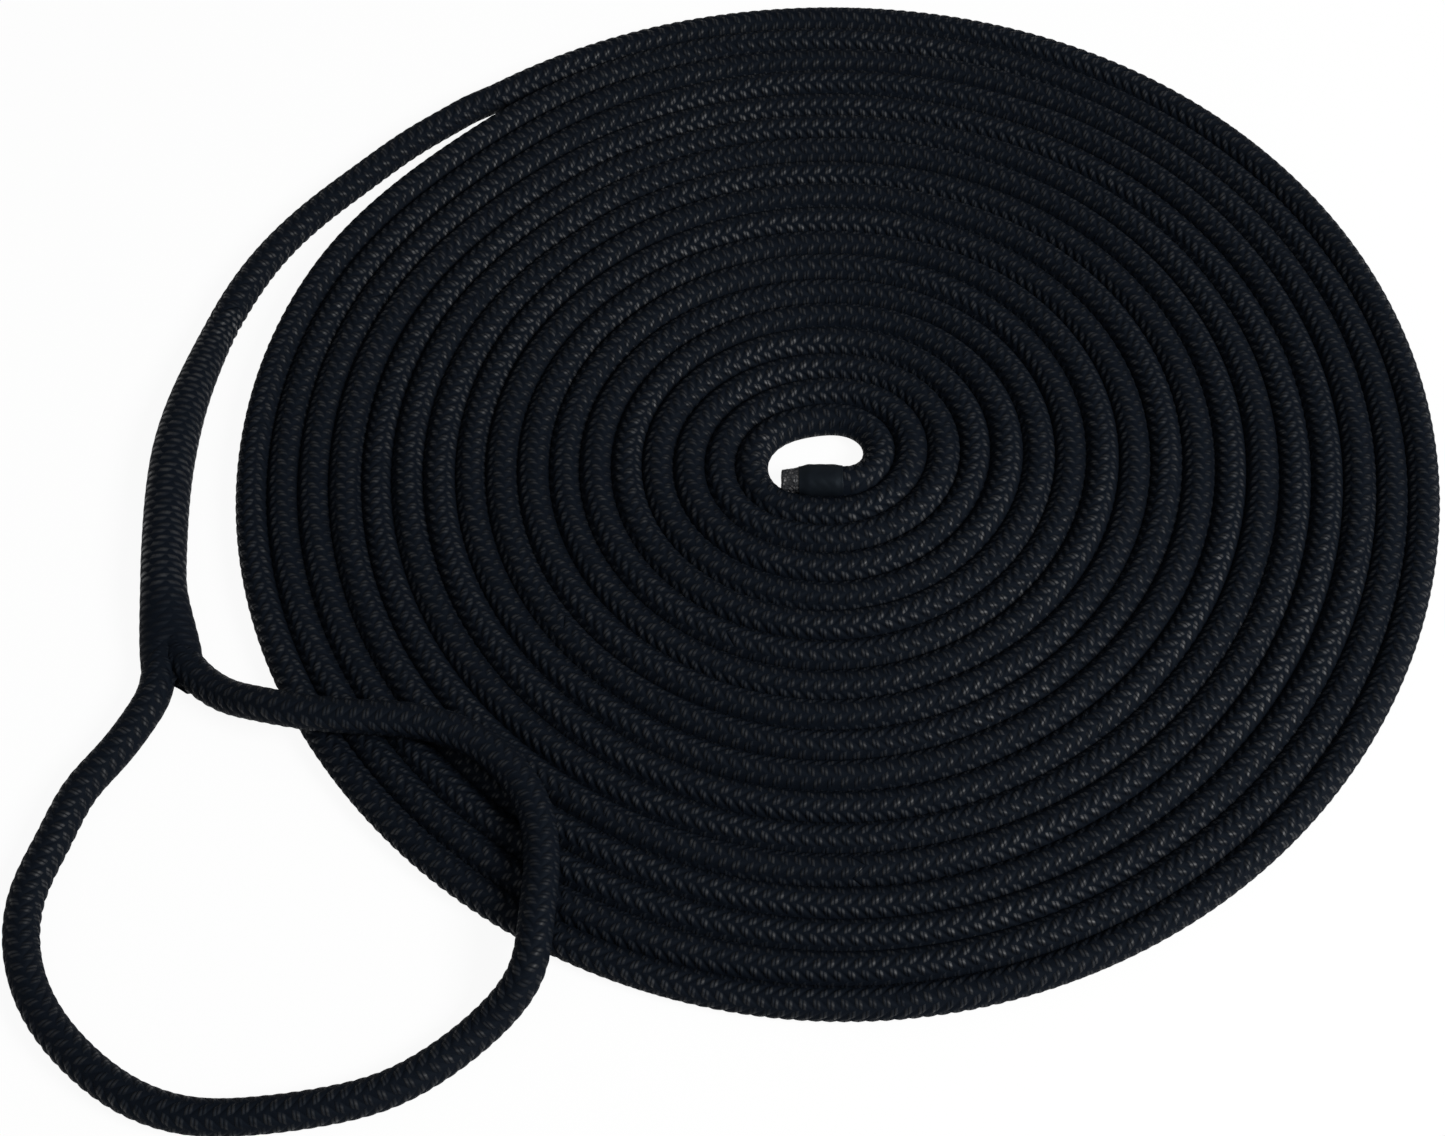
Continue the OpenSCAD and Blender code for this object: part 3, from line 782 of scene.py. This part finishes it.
def braided_nylon(settings, name="braided_nylon", ply_at=0.15, ply_half=0.14, shine=0.52):
    """Black nylon braid. The same heights as the mesh tell strand from gap. Each strand is two plies twisted
    together, so two short strokes cross its crown square to the rope: they shine through the coat, stand up
    as bump and are painted paler, a painted highlight for their sheen. Where the cover is drawn tight over
    the throat, the strokes fade."""
    if name in bpy.data.materials:
        return bpy.data.materials[name]
    slant, right_stripe, left_stripe, stroke_power = 0.5, 0.5, 2.5, 0.9
    before_throat, faded_within, clear_beyond, faded = 0.012, 0.012, 0.026, 0.15
    colours, rope = settings.colours, settings.rope
    dock_line = DockLine(settings)
    smooth_spot = dock_line.throat - before_throat * dock_line.throat_ahead
    recipe = Recipe(name)
    uv = recipe.node("ShaderNodeUVMap", {"uv_map": BRAID_MAP})
    turn = recipe.node("ShaderNodeSeparateXYZ", {}, {0: uv}, out="X")
    pick = recipe.node("ShaderNodeSeparateXYZ", {}, {0: uv}, out="Y")
    column = turn * rope.carriers

    def strand(phase, stripe, lean):
        """Height of one family of strands, and of its plies."""
        crown = (phase * math.pi).math("COSINE").math("ABSOLUTE") ** CROWN_POWER
        beside = (column - stripe).math("WRAP", 2.0, -2.0)
        reach = (beside.math("ABSOLUTE") / RISE_REACH).math("MINIMUM", 1.0) * (math.pi / 2)
        across = phase.math("WRAP", 0.5, -0.5) + lean * beside
        in_ply = (across.math("ABSOLUTE") - ply_at) / ply_half
        ply = (1.0 - in_ply * in_ply).math("MAXIMUM", 0.0)
        return crown * reach.math("COSINE") ** RISE_POWER, ply

    right_height, right_ply = strand(pick - column / 2, right_stripe, slant)
    left_height, left_ply = strand(pick + column / 2, left_stripe, -slant)
    height = right_height.math("MAXIMUM", left_height)
    right_shows = right_height.math("GREATER_THAN", left_height)
    ply = right_shows * right_ply + (1.0 - right_shows) * left_ply
    spot = recipe.spot()
    patch = recipe.noise(spot, 30.0)
    fleck = recipe.noise(spot, 900.0, 2.0)
    # Noise that makes the painted highlight of the strokes, and their coat, brighter in some patches and
    # dimmer in others
    sheen_patches = recipe.noise(spot, 170.0, 1.0)
    away = recipe.node("ShaderNodeVectorMath", {"operation": "DISTANCE"}, {0: spot, 1: smooth_spot},
                       out="Value")
    clear = recipe.node("ShaderNodeMapRange", {"interpolation_type": "SMOOTHSTEP"}, {
        "Value": away, "From Min": faded_within, "From Max": clear_beyond, "To Min": faded, "To Max": 1.0})
    # Mask of the strokes: it paints them paler in the base colour, a painted highlight for the plies' sheen,
    # and sets their coat weight, which is real shine
    crown = height ** stroke_power * ply * (0.3 + 1.4 * fleck) * (sheen_patches * 2.6 - 0.4) * clear
    # Colour of the painted highlight, patchy at random
    sheen_tone = recipe.mix(patch, opaque(colours.sheen), opaque(colours.sheen, 0.8))
    base = recipe.mix(crown, opaque(colours.gap), sheen_tone)
    rough = 0.58 + 0.12 * (1.0 - ply)
    bump = recipe.bump(1.0, 0.0004, ply * height + fleck * 0.2)
    return recipe.surface({
        "Base Color": base, "Roughness": rough, "Specular IOR Level": 0.05, "Specular Tint": COOL_TINT,
        "Coat Weight": crown * shine, "Coat Roughness": 0.5, "Normal": bump})


def opened_braid(settings):
    """The braid where the splice swells it: its plies lie further apart and show more of their shine."""
    return braided_nylon(settings, "opened_braid", ply_at=0.25, ply_half=0.17, shine=0.8)


def slack_braid(settings):
    """The braid outside the coil, which shines less."""
    return braided_nylon(settings, "slack_braid", shine=0.38)


def core_fibre(settings):
    """Pale core with a soft mottle."""
    recipe = Recipe("core_fibre")
    mottle = recipe.noise(recipe.spot(), 400.0)
    pale = settings.colours.core
    base = recipe.mix(mottle, opaque(pale), opaque(pale, 0.8))
    return recipe.surface({"Base Color": base, "Roughness": 0.75 + 0.1 * mottle})


def shrunk_plastic(settings):
    """Satin black shrink sleeve with faint clouding and a fine skin."""
    recipe = Recipe("shrunk_plastic")
    spot = recipe.spot()
    cloud = recipe.noise(spot, 220.0)
    skin = recipe.noise(spot, 1400.0, 2.0)
    black = settings.colours.sleeve
    base = recipe.mix(cloud, opaque(black), opaque(black, 1.6))
    bump = recipe.bump(0.25, 0.0001, skin)
    return recipe.surface({"Base Color": base, "Roughness": 0.4 + 0.14 * cloud, "Specular IOR Level": 0.08,
                           "Specular Tint": COOL_TINT, "Normal": bump})


def melted_nylon(settings):
    """Glossy melted tip: dark, with pale specks where the ends of yarns show."""
    recipe = Recipe("melted_nylon")
    spot = recipe.spot()
    cells = recipe.node("ShaderNodeTexVoronoi", {}, {"Vector": spot, "Scale": 750.0}, out="Distance")
    cloud = recipe.noise(spot, 350.0)
    speck = cells.math("LESS_THAN", 0.34) * (cloud * 1.4)
    base = recipe.mix(speck, opaque(settings.colours.tip), opaque(settings.colours.tip_speck))
    bump = recipe.bump(0.9, 0.0006, cells + cloud)
    return recipe.surface({"Base Color": base, "Roughness": 0.3 + 0.25 * cloud, "Specular IOR Level": 0.35,
                           "Normal": bump})


def pale_floor(settings):
    """Pale floor that takes the shadow. Camera, glossy and transmission rays see it mixed with plain
    white."""
    recipe = Recipe("pale_floor")
    camera, glossy, through = [recipe.node("ShaderNodeLightPath", out=f"Is {ray} Ray")
                               for ray in ("Camera", "Glossy", "Transmission")]
    looked_at = camera.math("MAXIMUM", glossy).math("MAXIMUM", through)
    matte = recipe.node("ShaderNodeBsdfDiffuse", {}, {"Color": opaque(settings.colours.floor)})
    white = recipe.node("ShaderNodeEmission", {}, {"Color": (1, 1, 1, 1), "Strength": 1.0})
    glow = looked_at * settings.stage.floor_glow
    return recipe.finish(recipe.node("ShaderNodeMixShader", {}, {0: glow, 1: matte, 2: white}))


class DOCKLINE_OT_set_stage(bpy.types.Operator):
    """Makes the camera, the key lamp, the even light and the pale floor"""

    bl_idname = "dock_line.set_stage"
    bl_label = "Set the Stage"

    def execute(self, context):
        scene = context.scene
        settings = scene.dock_line
        stage = settings.stage
        camera = bpy.data.objects.new("camera", bpy.data.cameras.new("camera"))
        camera.data.lens = stage.lens
        camera.data.sensor_width = SENSOR_MM
        camera.data.sensor_fit = "HORIZONTAL"
        back = Vector((0.0, -math.cos(stage.elevation), math.sin(stage.elevation)))
        camera.location = Vector(stage.aim) + stage.distance * back
        camera.rotation_euler = (math.pi / 2 - stage.elevation, 0.0, 0.0)
        scene.collection.objects.link(camera)
        scene.camera = camera

        key = bpy.data.objects.new("key", bpy.data.lights.new("key", "AREA"))
        key.data.energy = stage.key_power
        key.data.size = stage.key_size
        level = math.cos(stage.key_elevation)
        towards = Vector((level * math.cos(stage.key_azimuth), level * math.sin(stage.key_azimuth),
                          math.sin(stage.key_elevation)))
        key.location = stage.key_distance * towards
        key.rotation_euler = towards.to_track_quat("Z", "Y").to_euler()
        scene.collection.objects.link(key)

        world = bpy.data.worlds.new("even_light")
        world.use_nodes = True
        background = world.node_tree.nodes["Background"]
        background.inputs["Color"].default_value = (1.0, 1.0, 1.0, 1.0)
        background.inputs["Strength"].default_value = stage.sky
        scene.world = world
        scene.view_settings.view_transform = "Standard"

        half = stage.floor_side / 2
        corners = np.array([[-half, -half, 0], [half, -half, 0], [half, half, 0], [-half, half, 0]])
        floor = make_piece("floor", corners, [np.array([[0, 1, 2, 3]])], pale_floor(settings))
        return {"FINISHED"}


class DOCKLINE_OT_braid_turns(bpy.types.Operator):
    """Braids the cover of the coil, in several lengths that follow each other"""

    bl_idname = "dock_line.braid_turns"
    bl_label = "Braid the Turns"

    def execute(self, context):
        settings = context.scene.dock_line
        dock_line = DockLine(settings)
        marks = dock_line.turn_marks()
        for number, span in enumerate(zip(marks[:-1], marks[1:]), start=1):
            braided_tube(f"turns_braid_{number}", dock_line.standing, span, COARSE, dock_line.rope,
                         turn_section(dock_line), braided_nylon(settings), "coil")
        return {"FINISHED"}


class DOCKLINE_OT_braid_run(bpy.types.Operator):
    """Braids the cover of the free stretch between the coil and the splice"""

    bl_idname = "dock_line.braid_run"
    bl_label = "Braid the Run"

    def execute(self, context):
        settings = context.scene.dock_line
        dock_line = DockLine(settings)
        rope = dock_line.rope
        span = (dock_line.turn_marks()[-1], dock_line.splice_marks()[0])
        section = loose_section(rope, dock_line.splice_start - rope.swell_length)
        braided_tube("run_braid", dock_line.standing, span, FINE, rope, section, slack_braid(settings),
                     "run_cover")
        return {"FINISHED"}


class DOCKLINE_OT_draw_splice(bpy.types.Operator):
    """Draws the cover over the eye splice, on to the legs of the eye"""

    bl_idname = "dock_line.draw_splice"
    bl_label = "Draw the Splice"

    def execute(self, context):
        settings = context.scene.dock_line
        dock_line = DockLine(settings)
        braided_tube("splice_braid", dock_line.standing, dock_line.splice_marks(), FINE, dock_line.rope,
                     splice_section(dock_line), opened_braid(settings), "splice_cover", "buried_tail")
        return {"FINISHED"}


class DOCKLINE_OT_braid_eye(bpy.types.Operator):
    """Braids the cover of the eye, leg to leg"""

    bl_idname = "dock_line.braid_eye"
    bl_label = "Braid the Eye"

    def execute(self, context):
        settings = context.scene.dock_line
        dock_line = DockLine(settings)
        rope = dock_line.rope
        section = loose_section(rope, -rope.swell_length)
        braided_tube("eye_braid", dock_line.eye, dock_line.eye_marks(), FINE, rope, section,
                     slack_braid(settings), "eye_cover")
        return {"FINISHED"}


class DOCKLINE_OT_fit_sleeve(bpy.types.Operator):
    """Shrinks the sleeve over the bitter end"""

    bl_idname = "dock_line.fit_sleeve"
    bl_label = "Fit the Sleeve"

    def execute(self, context):
        settings = context.scene.dock_line
        points, faces = shrunk_sleeve(settings.end.sleeve_wall, settings.rope)
        piece = make_piece("shrink_sleeve", points, faces, shrunk_plastic(settings))
        declare(piece, "shrink_sleeve", "end_sleeve")
        return {"FINISHED"}


class DOCKLINE_OT_seal_tip(bpy.types.Operator):
    """Melts the end of the rope into a blunt glossy tip"""

    bl_idname = "dock_line.seal_tip"
    bl_label = "Seal the Tip"

    def execute(self, context):
        settings = context.scene.dock_line
        points, faces = melted_tip()
        piece = make_piece("melted_tip", points, faces, melted_nylon(settings))
        declare(piece, "melted_tip", "sealed_tip")
        return {"FINISHED"}


class DOCKLINE_OT_lay_core(bpy.types.Operator):
    bl_idname = "dock_line.lay_core"
    bl_label = "Lay the Core"

    def execute(self, context):
        settings = context.scene.dock_line
        dock_line = DockLine(settings)
        rope, line = dock_line.rope, dock_line.whole
        around = 16
        # Round rings square to the line, about a pick apart, kept off the floor by the cover's wall
        along = np.linspace(0, line.length, math.ceil(line.length / rope.pick))
        middle, right, up = line.at(along)
        turn = 2 * np.pi * np.arange(around)[:, None] / around
        radius = dock_line.rope_r - rope.cover_wall - rope.core_gap
        rings = middle[:, None] + radius * (np.cos(turn) * right[:, None] + np.sin(turn) * up[:, None])
        rings[..., 2] = np.maximum(rings[..., 2], rope.cover_wall)
        points = np.concatenate([rings.reshape(-1, 3), middle[[0, -1]]])
        piece = make_piece("rope_core", points, capped_faces(len(along), around), core_fibre(settings))
        declare(piece, "rope_core", "standing_core", "eye_core")
        names = [f"turns_braid_{number + 1}" for number in range(dock_line.coil.cover_lengths)]
        names += ["run_braid", "splice_braid", "eye_braid", "shrink_sleeve", "melted_tip"]
        return {"FINISHED"}


class DOCKLINE_PT_panel(bpy.types.Panel):
    """Lists the pieces and their sizes"""

    bl_idname = "DOCKLINE_PT_panel"
    bl_label = "Dock Line"
    bl_space_type = "VIEW_3D"
    bl_region_type = "UI"
    bl_category = "Dock Line"

    def draw(self, context):
        for operator in OPERATORS:
            self.layout.operator(operator.bl_idname)
        settings = context.scene.dock_line
        for group in DockLineSettings.__annotations__:
            sizes = getattr(settings, group)
            box = self.layout.box()
            box.label(text=group.capitalize())
            for name in sizes.__annotations__:
                box.prop(sizes, name)


GROUPS = (RopeSizes, CoilSizes, EndSizes, SpliceSizes, RopeColours, StageSettings, DockLineSettings)
OPERATORS = (DOCKLINE_OT_set_stage, DOCKLINE_OT_braid_turns, DOCKLINE_OT_braid_run, DOCKLINE_OT_draw_splice,
             DOCKLINE_OT_braid_eye, DOCKLINE_OT_fit_sleeve, DOCKLINE_OT_seal_tip, DOCKLINE_OT_lay_core)
CLASSES = (*GROUPS, *OPERATORS, DOCKLINE_PT_panel)


def register():
    for item in CLASSES:
        bpy.utils.register_class(item)
    bpy.types.Scene.dock_line = PointerProperty(type=DockLineSettings)


def unregister():
    del bpy.types.Scene.dock_line
    for item in reversed(CLASSES):
        bpy.utils.unregister_class(item)


def main():
    register()
    bpy.ops.dock_line.set_stage()
    bpy.ops.dock_line.braid_turns()
    bpy.ops.dock_line.braid_run()
    bpy.ops.dock_line.draw_splice()
    bpy.ops.dock_line.braid_eye()
    bpy.ops.dock_line.fit_sleeve()
    bpy.ops.dock_line.seal_tip()
    bpy.ops.dock_line.lay_core()


if __name__ == "__main__":
    main()
